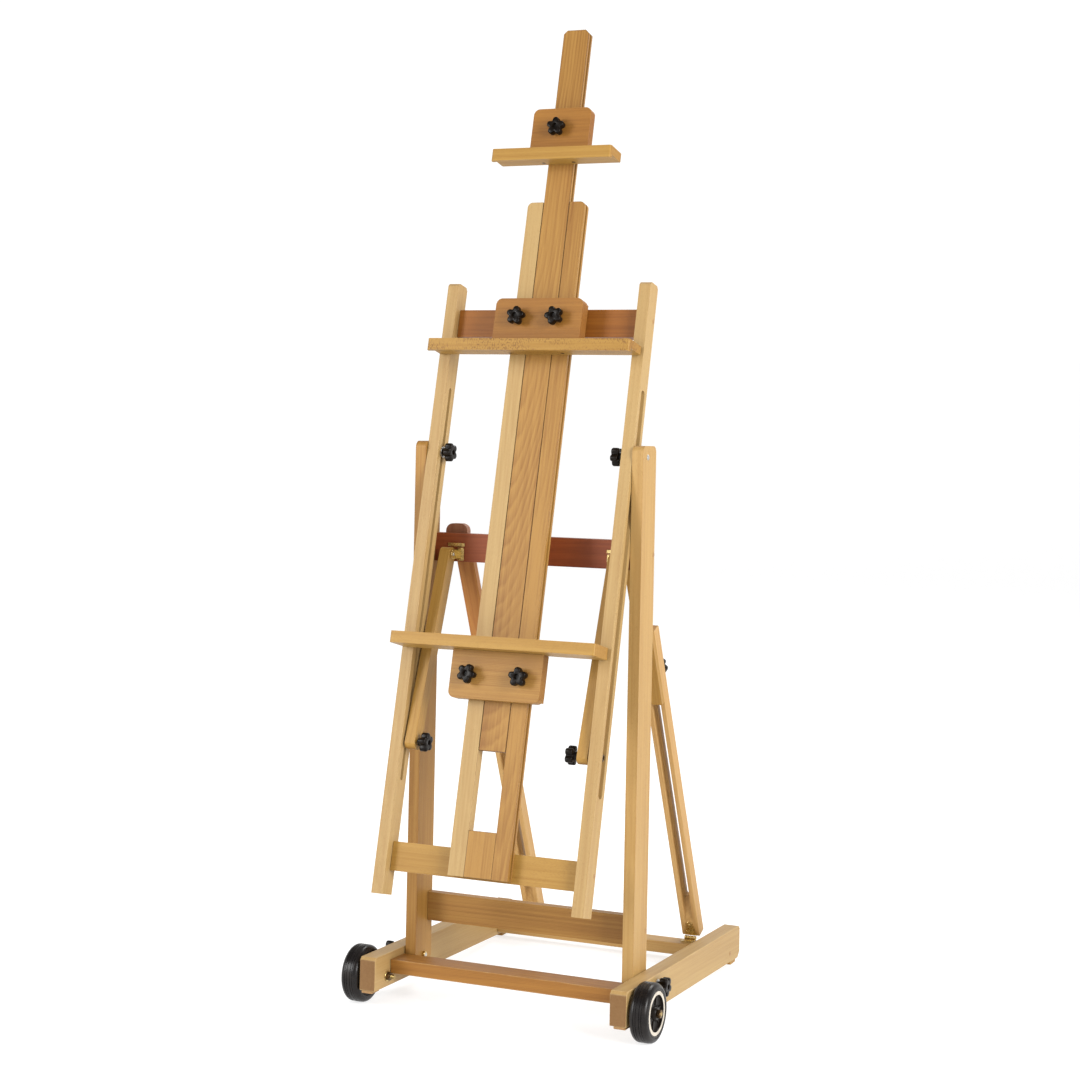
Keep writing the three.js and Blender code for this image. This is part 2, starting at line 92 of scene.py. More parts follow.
BASE_BOLT = {"back": 31, "high": 41}  # the base bolt's place in the stand
STAND_ORIGIN = spot(joint_at("upright_tilt"), STAND_UP, 0, -BASE_BOLT["back"], -BASE_BOLT["high"])
FRAME_ORIGIN = joint_at("frame_tilt")


def on_stand(x, back, high):
    return spot(STAND_ORIGIN, STAND_UP, x, back, high)


def on_frame(x, back, high):
    return spot(FRAME_ORIGIN, FRAME_UP, x, back, high)


def on_strut(side, x, back, high):
    return spot(joint_at(f"strut_swing_{side}"), STRUT_UP, x, back, high)


# ---------- node trees ----------

class Graph:
    """One material's node tree, which ends in its Principled shader."""

    def __init__(self, name):
        self.material = bpy.data.materials.new(name)
        self.material.use_nodes = True
        self.tree = self.material.node_tree
        self.shader = self.tree.nodes["Principled BSDF"]

    def feed(self, socket, value):
        if isinstance(value, bpy.types.NodeSocket):
            self.tree.links.new(value, socket)
        else:
            socket.default_value = value

    def node(self, kind, inputs=(), **settings):
        made = self.tree.nodes.new("ShaderNode" + kind)
        for name, value in settings.items():
            setattr(made, name, value)
        for name, value in dict(inputs).items():
            self.feed(made.inputs[name], value)
        return made

    def finish(self, **inputs):
        for name, value in inputs.items():
            self.feed(self.shader.inputs[name.replace("_", " ")], value)
        return self.material

    def place(self):
        return self.node("TexCoord").outputs["Object"]

    def math(self, operation, first, second=0.0, clamp=False):
        made = self.node("Math", operation=operation, use_clamp=clamp)
        self.feed(made.inputs[0], first)
        self.feed(made.inputs[1], second)
        return made.outputs[0]

    def remap(self, value, low, high, to_low=0.0, to_high=1.0):
        inputs = {"Value": value, "From Min": low, "From Max": high, "To Min": to_low, "To Max": to_high}
        return self.node("MapRange", inputs).outputs[0]

    def mix(self, factor, first, second, blend="MIX"):
        made = self.node("Mix", data_type="RGBA", blend_type=blend)
        for index, value in ((0, factor), (6, first), (7, second)):
            self.feed(made.inputs[index], value)
        return made.outputs[2]

    def stretch(self, vector, scale):
        return self.node("Mapping", {"Vector": vector, "Scale": scale}).outputs[0]

    def noise(self, vector, scale, detail=2.0, roughness=0.5):
        inputs = {"Vector": self.stretch(vector, scale), "Scale": 1.0, "Detail": detail,
                  "Roughness": roughness}
        return self.node("TexNoise", inputs)

    def bump(self, height, strength, distance):
        inputs = {"Height": height, "Strength": strength, "Distance": distance}
        return self.node("Bump", inputs).outputs[0]


# ---------- wood ----------

# Colours of the early (pale) and late (dark) growth of each kind of board, in linear light.
TONES = {
    "light": {"pale": (0.372, 0.244, 0.096, 1), "dark": (0.298, 0.176, 0.061, 1)},
    "straw": {"pale": (0.385, 0.236, 0.080, 1), "dark": (0.300, 0.163, 0.047, 1)},
    "honey": {"pale": (0.348, 0.196, 0.042, 1), "dark": (0.260, 0.130, 0.022, 1)},
    "amber": {"pale": (0.315, 0.164, 0.037, 1), "dark": (0.202, 0.086, 0.016, 1)},
    "toffee": {"pale": (0.285, 0.126, 0.022, 1), "dark": (0.194, 0.074, 0.011, 1)},
    "apricot": {"pale": (0.450, 0.272, 0.098, 1), "dark": (0.350, 0.190, 0.058, 1)},
    "russet": {"pale": (0.420, 0.185, 0.045, 1), "dark": (0.300, 0.112, 0.024, 1)},
    "rosy": {"pale": (0.330, 0.150, 0.085, 1), "dark": (0.240, 0.095, 0.052, 1)},
    "steamed": {"pale": (0.270, 0.095, 0.012, 1), "dark": (0.170, 0.052, 0.006, 1)},
    # This tone is partly painted shade: it darkens the middle rail for the H-frame's shadow on it.
    "umber_and_painted_shade": {"pale": (0.262, 0.063, 0.018, 1), "dark": (0.155, 0.033, 0.010, 1)},
}

# Growth rings: their width and the pith's depth and offset in millimetres, how strong they are, how far
# they wander in millimetres, how much the trunk bends (per metre), and how strong the dark rays are.
FIGURES = {
    "plain": {"ring": 2.4, "pith": (60, 12), "contrast": 0.44, "wander": 4, "bend": 0.006, "rays": 0.2},
    "quarter": {"ring": 1.9, "pith": (160, 20), "contrast": 0.30, "wander": 3, "bend": 0.003, "rays": 0.3},
    "wavy": {"ring": 5.5, "pith": (40, -44), "contrast": 0.58, "wander": 11, "bend": 0.07, "rays": 0.1},
    "flecked": {"ring": 3.0, "pith": (120, 0), "contrast": 0.16, "wander": 3, "bend": 0.004, "rays": 1.0},
}
# How fine each layer of the figure is along, across and square to the board: larger numbers are finer.
GRAIN = {
    "sway": (2.6, 13, 13), "faint": (3.5, 22, 22), "cloud": (1.3, 12, 12), "streaks": (2.2, 230, 230),
    "fibres": (14, 1100, 1100), "patches": (9, 60, 60), "arris_patches": (25, 25, 25),
}
USUAL = (0.3, 0.7)  # most of a noise's values lie between these two
# How much a layer darkens the board at the lower and at the upper of its usual values.
DARKENING = {"cloud": (-0.2, 0.4), "streaks": (-0.24, 0.38), "fibres": (-0.12, 0.2)}
# The dark dashes of the rays: how fine they are, and the noise level where a dash starts.
DASHES = {"flecked": {"grain": (620, 620, 190), "start": 0.56}}
COMMON_DASHES = {"grain": (230, 1500, 1500), "start": 0.62}
DASH_BLUR = 0.08
RAY_COLOUR = (0.135, 0.055, 0.013, 1)
# What end grain multiplies the board's colour by. The runner's much darker value is partly painted shade, for
# the shade its low front end lies in.
END_GRAIN_AND_SHADE = {"runner": (0.50, 0.40, 0.36, 1), "side_rail": (0.70, 0.58, 0.50, 1)}
COMMON_END_SHADE = (0.86, 0.80, 0.74, 1)
WAVE_PERIOD = 0.314  # the width of a wave texture's rings or bands at scale 1, in metres
# What an arris shows: wood rubbed pale by hands with a painted highlight along it, or the dark line of a
# joint between two boards with painted shade in the gap.
EDGES = {
    # worn: the pale colour is partly a painted highlight along the bevel.
    "worn": {"round": 1.4, "colour": (0.52, 0.39, 0.20, 1), "share": (0.04, 0.30)},
    # joint: the near-black colour is partly painted shade in the narrow gap between the boards.
    "joint": {"round": 0.6, "colour": (0.060, 0.026, 0.009, 1), "share": (0.65, 0.85)},
}


def grain_turn(along, tilt):
    """The turn that brings the grain to +X, with the pith tilted a little so that the figure closes."""
    along = along.normalized()
    across = Vector((0, 1, 0)) if abs(along.x) > 0.9 else X
    third = along.cross(across).normalized()
    across = third.cross(along)
    return Euler((0, tilt, 0.6 * tilt)).to_matrix() @ Matrix((along, across, third))


def centre_of(node):
    low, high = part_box(node)
    return (low + high) / 2


def kind_of(node):
    for side in SIDES:
        node = node.removesuffix(f"_{side}")
    return node


def board_places(graph, node, along, pith, seed):
    """Places in the trunk that a board is cut from, its grain along X, and the same moved on by the seed."""
    depth, offset = pith
    turn = grain_turn(along, math.radians(0.5 + 0.4 * math.sin(2.1 * seed)))
    core = Vector((0, offset * MM * math.sin(3.7 * seed + 1.0), depth * MM))
    start = core - turn @ centre_of(node)
    inputs = {"Vector": graph.place(), "Rotation": turn.to_euler(), "Location": start}
    plank = graph.node("Mapping", inputs).outputs[0]
    own = graph.node("VectorMath", {0: plank, 1: (0.83 * seed, 0, 0)}, operation="ADD").outputs[0]
    return plank, own


def bent(graph, plank, bend, crook):
    """The same place in a trunk whose pith curves away along the board, most at its lower end."""
    parts = graph.node("SeparateXYZ", {"Vector": plank}).outputs
    run = graph.math("SUBTRACT", parts["X"], crook)
    sag = graph.math("MULTIPLY", graph.math("MULTIPLY", run, run), bend)
    deeper = graph.math("ADD", parts["Z"], sag)
    return graph.node("CombineXYZ", {"X": parts["X"], "Y": parts["Y"], "Z": deeper}).outputs[0]


def layer(graph, own, name, detail, roughness=0.5):
    return graph.noise(own, GRAIN[name], detail, roughness).outputs["Fac"]


def growth_rings(graph, node, plank, own, look):
    """How much the rings round the pith darken the board. They wander, and are faint in patches."""
    low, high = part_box(node)
    crook = 0.5 * (high - low).length
    sway = graph.noise(own, GRAIN["sway"], detail=4).outputs["Color"]
    centred = graph.node("VectorMath", {0: sway, 1: (0.5, 0.5, 0.5)}, operation="SUBTRACT").outputs[0]
    reach = (0, 2 * look["wander"] * MM, 2 * look["wander"] * MM)
    shift = graph.node("VectorMath", {0: centred, 1: reach}, operation="MULTIPLY").outputs[0]
    curved = bent(graph, plank, look["bend"], crook)
    swayed = graph.node("VectorMath", {0: curved, 1: shift}, operation="ADD").outputs[0]

    wave = {"Vector": swayed, "Scale": WAVE_PERIOD / (look["ring"] * MM)}
    rings = graph.node("TexWave", wave, wave_type="RINGS", rings_direction="X", wave_profile="SAW")
    late = graph.node("ValToRGB", {"Fac": rings.outputs["Fac"]})
    palest, darkest = late.color_ramp.elements
    palest.position = 0.05
    darkest.position = 0.8
    late.color_ramp.elements.new(1.0).color = (0.1, 0.1, 0.1, 1)
    faint = graph.remap(layer(graph, own, "faint", 2), 0.35, 0.62, 0.25, 1.0)
    return graph.math("MULTIPLY", graph.math("MULTIPLY", late.outputs["Color"], faint), look["contrast"])


def ray_dashes(graph, own, figure):
    """Where the short dark dashes of the rays are: 0 between them, 1 on them."""
    look = DASHES.get(figure, COMMON_DASHES)
    dashes = graph.noise(own, look["grain"], detail=0).outputs["Fac"]
    marks = graph.remap(dashes, look["start"], look["start"] + DASH_BLUR)
    patches = graph.remap(layer(graph, own, "patches", 1), 0.3, 0.55)
    return graph.math("MULTIPLY", marks, patches, clamp=True)


def end_grain(graph, along):
    """1 on the faces that cut across the grain, 0 on the others."""
    normal = graph.node("TexCoord").outputs["Normal"]
    facing = graph.node("VectorMath", {0: normal, 1: along}, operation="DOT_PRODUCT").outputs["Value"]
    return graph.remap(graph.math("ABSOLUTE", facing), 0.75, 0.95)


def wood(name, node, along, tone, figure, seed, edge=None):
    """Lacquered beech for one board, its rings, fibres and rays running along it.

    With an edge, it is the wood of that board's arrises: pale wear that is partly a painted highlight, or a
    dark joint line that is partly painted gap shade.
    """
    graph = Graph(name)
    look = FIGURES[figure]
    plank, own = board_places(graph, node, along, look["pith"], seed)
    rings = growth_rings(graph, node, plank, own, look)
    fibres = layer(graph, own, "fibres", 4, 0.6)
    cloud_part = graph.remap(layer(graph, own, "cloud", 3), *USUAL, *DARKENING["cloud"])
    streak_part = graph.remap(layer(graph, own, "streaks", 4), *USUAL, *DARKENING["streaks"])
    fibre_part = graph.remap(fibres, *USUAL, *DARKENING["fibres"])
    broad = graph.math("ADD", rings, cloud_part)
    darkness = graph.math("ADD", broad, graph.math("ADD", streak_part, fibre_part), clamp=True)
    colour = graph.mix(darkness, TONES[tone]["pale"], TONES[tone]["dark"])

    rays = ray_dashes(graph, own, figure)
    colour = graph.mix(graph.math("MULTIPLY", rays, 0.75 * look["rays"]), colour, RAY_COLOUR)
    end = end_grain(graph, along)
    # On the runners this darker end colour is partly painted shade.
    end_grain_and_shade_factor = END_GRAIN_AND_SHADE.get(kind_of(node), COMMON_END_SHADE)
    colour = graph.mix(end, colour, graph.mix(1.0, colour, end_grain_and_shade_factor, blend="MULTIPLY"))
    if edge:
        # A pale worn arris is partly a painted highlight; a dark joint arris is partly painted shade in the
        # gap.
        share = graph.remap(layer(graph, own, "arris_patches", 4), 0.35, 0.7, *EDGES[edge]["share"])
        colour = graph.mix(share, colour, EDGES[edge]["colour"])

    height = graph.math("ADD", graph.math("MULTIPLY", fibres, 0.6), graph.math("MULTIPLY", rays, -0.5))
    rough = graph.math("ADD", graph.remap(fibres, *USUAL, 0.44, 0.54), graph.math("MULTIPLY", end, 0.15))
    return graph.finish(
        Base_Color=colour, Roughness=rough, Normal=graph.bump(height, 0.35, 0.2 * MM),
        Specular_IOR_Level=0.26, Coat_Weight=0.04, Coat_Roughness=0.3)


# ---------- plastics, rubber and metals ----------

def plastic():
    """Moulded black plastic: a fine orange peel, and a greyer bloom where hands have rubbed it."""
    graph = Graph("black_moulded_plastic")
    place = graph.place()
    bloom = graph.noise(place, (60, 60, 60), detail=4).outputs["Fac"]
    grain = graph.noise(place, (1400, 1400, 1400), detail=2).outputs["Fac"]
    deep, worn = (0.0040, 0.0024, 0.0014, 1), (0.0095, 0.0062, 0.0040, 1)
    colour = graph.mix(graph.remap(bloom, 0.35, 0.75), deep, worn)
    rough = graph.math("ADD", graph.remap(bloom, *USUAL, 0.24, 0.36), graph.remap(grain, *USUAL, 0, 0.06))
    return graph.finish(Base_Color=colour, Roughness=rough, Normal=graph.bump(grain, 0.25, 0.15 * MM),
                        Specular_IOR_Level=0.13)


def rubber():
    """Smooth dark rubber with a soft shine, dusty in patches."""
    graph = Graph("tyre_rubber")
    place = graph.place()
    dust = graph.remap(graph.noise(place, (45, 45, 45), detail=5).outputs["Fac"], 0.45, 0.8)
    grain = graph.noise(place, (900, 900, 900), detail=2).outputs["Fac"]
    clean, dusty = (0.007, 0.0055, 0.0052, 1), (0.024, 0.019, 0.016, 1)
    colour = graph.mix(graph.math("MULTIPLY", dust, 0.6), clean, dusty)
    rough = graph.math("ADD", graph.math("MULTIPLY", dust, 0.22), 0.26)
    return graph.finish(Base_Color=colour, Roughness=rough, Normal=graph.bump(grain, 0.12, 0.1 * MM),
                        Specular_IOR_Level=0.22)


def cream_paint():
    """Cream enamel on the wheel's band, a little grubby."""
    graph = Graph("cream_band")
    grime = graph.remap(graph.noise(graph.place(), (90, 90, 90), detail=5).outputs["Fac"], 0.45, 0.85)
    clean, grubby = (0.50, 0.45, 0.37, 1), (0.32, 0.27, 0.21, 1)
    colour = graph.mix(grime, clean, grubby)
    rough = graph.math("ADD", graph.math("MULTIPLY", grime, 0.2), 0.38)
    return graph.finish(Base_Color=colour, Roughness=rough)


def metal(name, bright, dull, gloss):
    """Plated metal: fine scratches, and darker spots where the plating has dulled."""
    graph = Graph(name)
    place = graph.place()
    spots = graph.remap(graph.noise(place, (160, 160, 160), detail=5).outputs["Fac"], 0.42, 0.75)
    scratches = graph.noise(place, (400, 400, 400), detail=3).outputs["Fac"]
    rough = graph.math("ADD", graph.remap(scratches, *USUAL, gloss - 0.05, gloss + 0.08),
                       graph.math("MULTIPLY", spots, 0.2))
    return graph.finish(Base_Color=graph.mix(spots, bright, dull), Metallic=1.0, Roughness=rough,
                        Normal=graph.bump(scratches, 0.15, 0.05 * MM))


def threaded(name, bright, dull, pitch):
    """Metal with a thread turned on it: fine rings square to the piece's own Z, a pitch in mm apart."""
    graph = Graph(name)
    place = graph.place()
    ridge = {"Vector": place, "Scale": WAVE_PERIOD / (pitch * MM)}
    turns = graph.node("TexWave", ridge, wave_type="BANDS", bands_direction="Z").outputs["Fac"]
    spots = graph.remap(graph.noise(place, (200, 200, 200), detail=4).outputs["Fac"], 0.4, 0.75)
    colour = graph.mix(graph.math("MULTIPLY", turns, spots), bright, dull)
    return graph.finish(Base_Color=colour, Metallic=1.0, Roughness=graph.remap(spots, 0, 1, 0.3, 0.5),
                        Normal=graph.bump(turns, 0.9, 0.5 * MM))


BLACK = plastic()
RUBBER = rubber()
CREAM = cream_paint()
BRASS = metal("brass_plate", (0.72, 0.55, 0.24, 1), (0.36, 0.25, 0.09, 1), 0.24)
BRASS_THREAD = threaded("brass_thread", (0.44, 0.32, 0.12, 1), (0.20, 0.13, 0.05, 1), 1.0)
STEEL = metal("zinc_steel", (0.56, 0.55, 0.52, 1), (0.34, 0.32, 0.29, 1), 0.3)
BRONZE = metal("dark_bronze", (0.155, 0.095, 0.045, 1), (0.060, 0.040, 0.022, 1), 0.34)
STEEL_THREAD = threaded("steel_thread", (0.52, 0.51, 0.48, 1), (0.25, 0.24, 0.22, 1), 1.0)


# ---------- boards: the CAD solids, with soft edges and their own grain ----------

# Each kind of board: the way its grain runs, its tone and its figure.
BOARDS = {
    "runner": (STAND_BACK, "light", "plain"),
    "upright": (STAND_UP, "straw", "quarter"),
    "link": (LINK_UP, "honey", "quarter"),
    "strut_channel": (STRUT_UP, "apricot", "plain"),
    "strut_slat": (STRUT_UP, "russet", "plain"),
    "strut_head": (STAND_UP, "rosy", "plain"),
    "side_rail": (FRAME_UP, "light", "quarter"),
    "column_guide": (FRAME_UP, "light", "plain"),
    "rear_foot": (STAND_BACK, "honey", "plain"),
    "front_crossbar": (X, "toffee", "plain"),
    "rear_crossbar": (X, "straw", "plain"),
    # Partly painted shade: the dark umber stands in for the H-frame's shadow on this rail.
    "upright_middle_rail": (X, "umber_and_painted_shade", "plain"),
    "upright_lower_rail": (X, "amber", "plain"),
    "frame_top_board": (X, "steamed", "plain"),
    "frame_bottom_board": (X, "honey", "quarter"),
    "column_filler": (FRAME_UP, "amber", "plain"),
    "inner_mast": (FRAME_UP, "amber", "wavy"),
    "top_holder_ledge": (X, "honey", "plain"),
    "top_holder_block": (X, "toffee", "plain"),
    "middle_shelf_ledge": (X, "honey", "flecked"),
    "middle_shelf_block": (X, "toffee", "quarter"),
    "lower_shelf_ledge": (X, "honey", "quarter"),
    "lower_shelf_block": (X, "amber", "plain"),
}
# Boards that differ from their pair in tone, and kinds that are joined along their edges.
TONE_OF = {"column_guide_right": "amber", "upright_left": "amber", "strut_slat_right": "honey"}
JOINTED = ("column_guide", "column_filler", "inner_mast")


def soften(board, width):
    """Welds the board's faces and rounds its arrises, which take the second material slot."""
    board.data.polygons.foreach_set("use_smooth", [True] * len(board.data.polygons))
    board.data.set_sharp_from_angle(angle=math.radians(28))
    weld = board.modifiers.new("weld", "WELD")
    weld.merge_threshold = 0.01 * MM
    bevel = board.modifiers.new("arrises", "BEVEL")
    bevel.width = width * MM
    bevel.segments = 3
    bevel.limit_method = "ANGLE"
    bevel.angle_limit = math.radians(40)
    bevel.material = 1
    normals = board.modifiers.new("flat_faces", "WEIGHTED_NORMAL")
    normals.mode = "FACE_AREA"
    normals.weight = 90
    normals.keep_sharp = True


def dress_boards():
    for seed, name in enumerate(sorted(frame["nodes"]), start=1):
        kind = kind_of(name)
        if kind not in BOARDS:
            continue
        along, tone, figure = BOARDS[kind]
        tone = TONE_OF.get(name, tone)
        board = frame["nodes"][name]
        board.data.materials.clear()
        board.data.materials.append(wood(f"{name}_wood", name, along, tone, figure, seed))
        # Jointed boards get a dark arris that is partly painted gap shade, the others a pale one that is
        # partly a painted highlight.
        edge = "joint" if kind in JOINTED else "worn"
        board.data.materials.append(wood(f"{name}_edge", name, along, tone, figure, seed, edge))
        soften(board, EDGES[edge]["round"])


# ---------- mesh making ----------

def turn_to(aim):
    """The turn that brings +Z to aim."""
    return aim.normalized().to_track_quat("Z", "Y").to_matrix().to_4x4()


def mesh_of(name, loops, closed=True):
    """A skin over loops of equally many points. Closed caps both ends; otherwise the loops join up."""
    shape = bmesh.new()
    rows = [[shape.verts.new(point) for point in loop] for loop in loops]
    pairs = list(zip(rows, rows[1:]))
    if not closed:
        pairs.append((rows[-1], rows[0]))
    count = len(rows[0])
    for lower, upper in pairs:
        for index in range(count):
            after = (index + 1) % count
            shape.faces.new((lower[index], lower[after], upper[after], upper[index]))
    if closed:
        shape.faces.new(reversed(rows[0]))
        shape.faces.new(rows[-1])
    bmesh.ops.recalc_face_normals(shape, faces=shape.faces)
    mesh = bpy.data.meshes.new(name)
    shape.to_mesh(mesh)
    shape.free()
    mesh.polygons.foreach_set("use_smooth", [True] * len(mesh.polygons))
    mesh.set_sharp_from_angle(angle=math.radians(35))
    return mesh


def ring_of(radius_at, height, count):
    """A loop round Z. Radius_at is the radius in millimetres, or a function that gives it at an angle."""
    loop = []
    for index in range(count):
        angle = 2 * math.pi * index / count
        radius = radius_at(angle) if callable(radius_at) else radius_at
        loop.append(Vector((radius * math.cos(angle), radius * math.sin(angle), height)) * MM)
    return loop


def turned(name, profile, count=48, closed=True):
    """A turned piece: the profile lists (radius, height) pairs from its foot to its head."""
    return mesh_of(name, [ring_of(radius, height, count) for radius, height in profile], closed)


def leaning_axes(normal, along):
    """Axes with Z on the normal and X on the direction along, as a 4x4 turn."""
    z = normal.normalized()
    x = (along - along.dot(z) * z).normalized()
    return Matrix((x, z.cross(x), z)).transposed().to_4x4()


def piece(name, mesh, materials, at, aim, body, twist=0.0, along=None):
    """An object that stands at a point with its Z on aim, and its X towards along if given, on a body."""
    made = bpy.data.objects.new(name, mesh)
    bpy.context.scene.collection.objects.link(made)
    for material in materials:
        if len(made.data.materials) < len(materials):
            made.data.materials.append(material)
    axes = turn_to(aim) if along is None else leaning_axes(aim, along)
    made.matrix_world = Matrix.Translation(at) @ axes @ Matrix.Rotation(twist, 4, "Z")
    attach(made, body)
    return made


def plate_levels(thick, arris):
    """The inset and height of each outline of a plate with softened arrises."""
    return [(arris, 0), (0, arris), (0, thick - arris), (arris, thick)]


def slab(name, width, height, thick, corner, arris=0.4):
    """A plate with round corners that lies on Z = 0."""
    quarter = math.pi / 2
    steps = 6

    def outline(inset, level):
        loop = []
        for turn, (sx, sy) in enumerate(((1, 1), (-1, 1), (-1, -1), (1, -1))):
            for step in range(steps + 1):
                angle = turn * quarter + quarter * step / steps
                x = sx * (width / 2 - corner) + (corner - inset) * math.cos(angle)
                y = sy * (height / 2 - corner) + (corner - inset) * math.sin(angle)
                loop.append(Vector((x, y, level)) * MM)
        return loop

    return mesh_of(name, [outline(inset, level) for inset, level in plate_levels(thick, arris)])


# ---------- star knobs ----------

KNOB = {"radius": 17.3, "waist": 11.7, "neck": 7.5, "seat": 6.0, "top": 20.0, "recess": 4.6}
STAR_LOBES = 5


def star(angle):
    middle = (KNOB["radius"] + KNOB["waist"]) / 2
    swing = (KNOB["radius"] - KNOB["waist"]) / 2
    return middle + swing * (math.cos(STAR_LOBES * angle) - 0.18 * math.cos(2 * STAR_LOBES * angle) + 0.18)


def knob_mesh():
    """A five-lobed knob: a round neck, a head with rolled edges and a round recess in its face."""
    neck, seat, top, recess = (KNOB[key] for key in ("neck", "seat", "top", "recess"))

    def lobed(share, inset, core):
        return lambda angle: share * (star(angle) - inset) + (1 - share) * core

    levels = [
        (neck - 0.6, 0), (neck, 0.5), (neck, seat - 1.2), (neck + 0.5, seat - 0.4),
        (lobed(0.5, 1.5, neck + 1), seat), (lobed(1, 1.3, neck), seat + 0.2),
        (lobed(1, 0.4, neck), seat + 0.8), (lobed(1, 0, neck), seat + 1.8),
        (lobed(1, 0, neck), top - 3.2), (lobed(1, 0.4, neck), top - 1.8), (lobed(1, 1.3, neck), top - 0.8),
        (lobed(1, 2.6, neck), top - 0.2), (lobed(0.6, 3, recess + 2.2), top),
        (recess + 1.0, top - 0.1), (recess + 0.3, top - 0.3), (recess, top - 0.8), (recess - 0.2, top - 4.5),
        (recess - 1.2, top - 4.6), (0.4, top - 4.6),
    ]
    return mesh_of("star_knob", [ring_of(radius, level, 100) for radius, level in levels])


def nut_mesh(across, thick):
    """A hexagon nut with turned corners."""
    apothem = across / 2
    corner = apothem / math.cos(math.pi / 6)

    def hexagon(limit):
        def reach(angle):
            off_flat = (angle + math.pi / 6) % (math.pi / 3) - math.pi / 6
            return min(apothem / math.cos(off_flat), limit)
        return reach

    levels = [(hexagon(apothem), 0), (hexagon(corner), 0.12 * thick), (hexagon(corner), 0.88 * thick),
              (hexagon(apothem), thick)]
    return mesh_of("hexagon_nut", [ring_of(radius, level, 72) for radius, level in levels])


def rod_mesh(name, radius, length):
    tip = 0.6
    profile = [(radius - tip, 0), (radius, tip), (radius, length - tip), (radius - tip, length)]
    return turned(name, profile, 32)


def washer_mesh(inner, outer, thick):
    edge = 0.25
    profile = [(inner, 0), (outer - edge, 0), (outer, edge), (outer, thick - edge), (outer - edge, thick),
               (inner, thick)]
    return turned("washer", profile, 40, closed=False)


KNOB_MESH = knob_mesh()
AIMS = {
    "base": lambda sign: sign * X, "pivot": lambda sign: -sign * X, "link": lambda sign: -sign * X,
    "strut": lambda sign: behind(STRUT_UP),
    "middle_shelf": lambda sign: -FRAME_BACK, "lower_shelf": lambda sign: -FRAME_BACK,
}
# Each stud's radius and its length behind the knob's seat, in millimetres. The pivot knobs sit on bolts.
STUDS = {"base": (4, 62), "link": (4, 22), "strut": (3, 12.3), "middle_shelf": (3, 22),
         "lower_shelf": (3, 22), "top_holder": (3, 19)}
# The washer under each base knob and the nut on the end of its stud.
BASE_WASHER = {"radius": 11, "thick": 1.2, "play": 0.3, "behind": 1.4}
BASE_NUT = {"across": 11, "thick": 5, "inset": 0.4}


def dress_knob(node, kind, aim, twist):
    """A star knob, and behind its seat the stud that it turns on."""
    seat = joint_at(f"{node}_turn")
    head = piece(f"{node}_head", KNOB_MESH, [BLACK], seat, aim, node, twist)
    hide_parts(node)
    if kind not in STUDS:
        return
    radius, length = STUDS[kind]
    rod = rod_mesh(f"{node}_stud_mesh", radius, length)
    end = seat - length * MM * aim
    piece(f"{node}_stud", rod, [STEEL_THREAD], end, aim, node)
    if kind == "base":
        ring = washer_mesh(radius + BASE_WASHER["play"], BASE_WASHER["radius"], BASE_WASHER["thick"])
        ring_at = seat - BASE_WASHER["behind"] * MM * aim
        piece(f"{node}_washer", ring, [STEEL], ring_at, aim, node)
        nut = nut_mesh(BASE_NUT["across"], BASE_NUT["thick"])
        piece(f"{node}_nut", nut, [BRASS], end + BASE_NUT["inset"] * MM * aim, aim, node)


def dress_knobs():
    for kind, aim in AIMS.items():
        for index, (side, sign) in enumerate(SIDES.items()):
            dress_knob(f"{kind}_knob_{side}", kind, aim(sign), 0.35 + 0.5 * index + 0.3 * len(kind))
    dress_knob("top_holder_knob", "top_holder", -FRAME_BACK, 0.3)


# ---------- wheels ----------

WHEEL = {"radius": 51, "rim": 38, "inner": 262.5, "outer": 297, "band": 31.5}
WHEEL_WIDTH = WHEEL["outer"] - WHEEL["inner"]
HUB = {"bore": 4.5, "boss": 11, "dish": 6}
RIB = {"count": 6, "long": 15.5, "wide": 3.2, "thick": 2.2, "corner": 1.2, "arris": 0.5, "reach": 20.8,
       "sunk": 0.3, "first": 0.2}
# The axle's parts start or end at these distances from the middle plane.
AXLE = {"inner_end": 212, "inner_nut": 220, "inner_washer": 226, "outer_nut": 298.3, "outer_end": 305}
AXLE_RADIUS = 4
AXLE_NUT = {"across": 13.5, "thick": 6}
AXLE_WASHER = {"radius": 9.5, "thick": 1.2}


def tyre_mesh(sign):
    """A plump tyre with four narrow grooves round its tread, along +Z outward."""
    radius, rim, width = WHEEL["radius"], WHEEL["rim"] + 0.2, WHEEL_WIDTH
    shoulder = 9.0
    crown = []
    for step in range(9):
        angle = math.pi / 2 * step / 8
        out, up = shoulder * math.cos(angle), shoulder * math.sin(angle)
        crown.append((radius - shoulder + up, width - shoulder + out))
    groove, floor = 0.9, 0.35
    off_shoulder, off_middle = 1.0, 3.2
    tread = []
    for place in (width - shoulder - off_shoulder, width / 2 + off_middle, width / 2 - off_middle,
                  shoulder + off_shoulder):
        tread += [(radius, place + groove), (radius - groove, place + floor),
                  (radius - groove, place - floor), (radius, place - groove)]
    back = [(reach, width - level) for reach, level in reversed(crown)]
    lip = [(rim, 0.8), (rim, width - 0.8), (rim + 0.8, width), (rim + 2.6, width), (rim + 3.0, width - 0.7),
           (rim + 3.8, width - 0.7), (rim + 4.2, width)]
    heel = [(rim + 0.8, 0)]
    return turned(f"tyre_skin_{sign}", lip + crown + tread + back + heel, 128, closed=False)


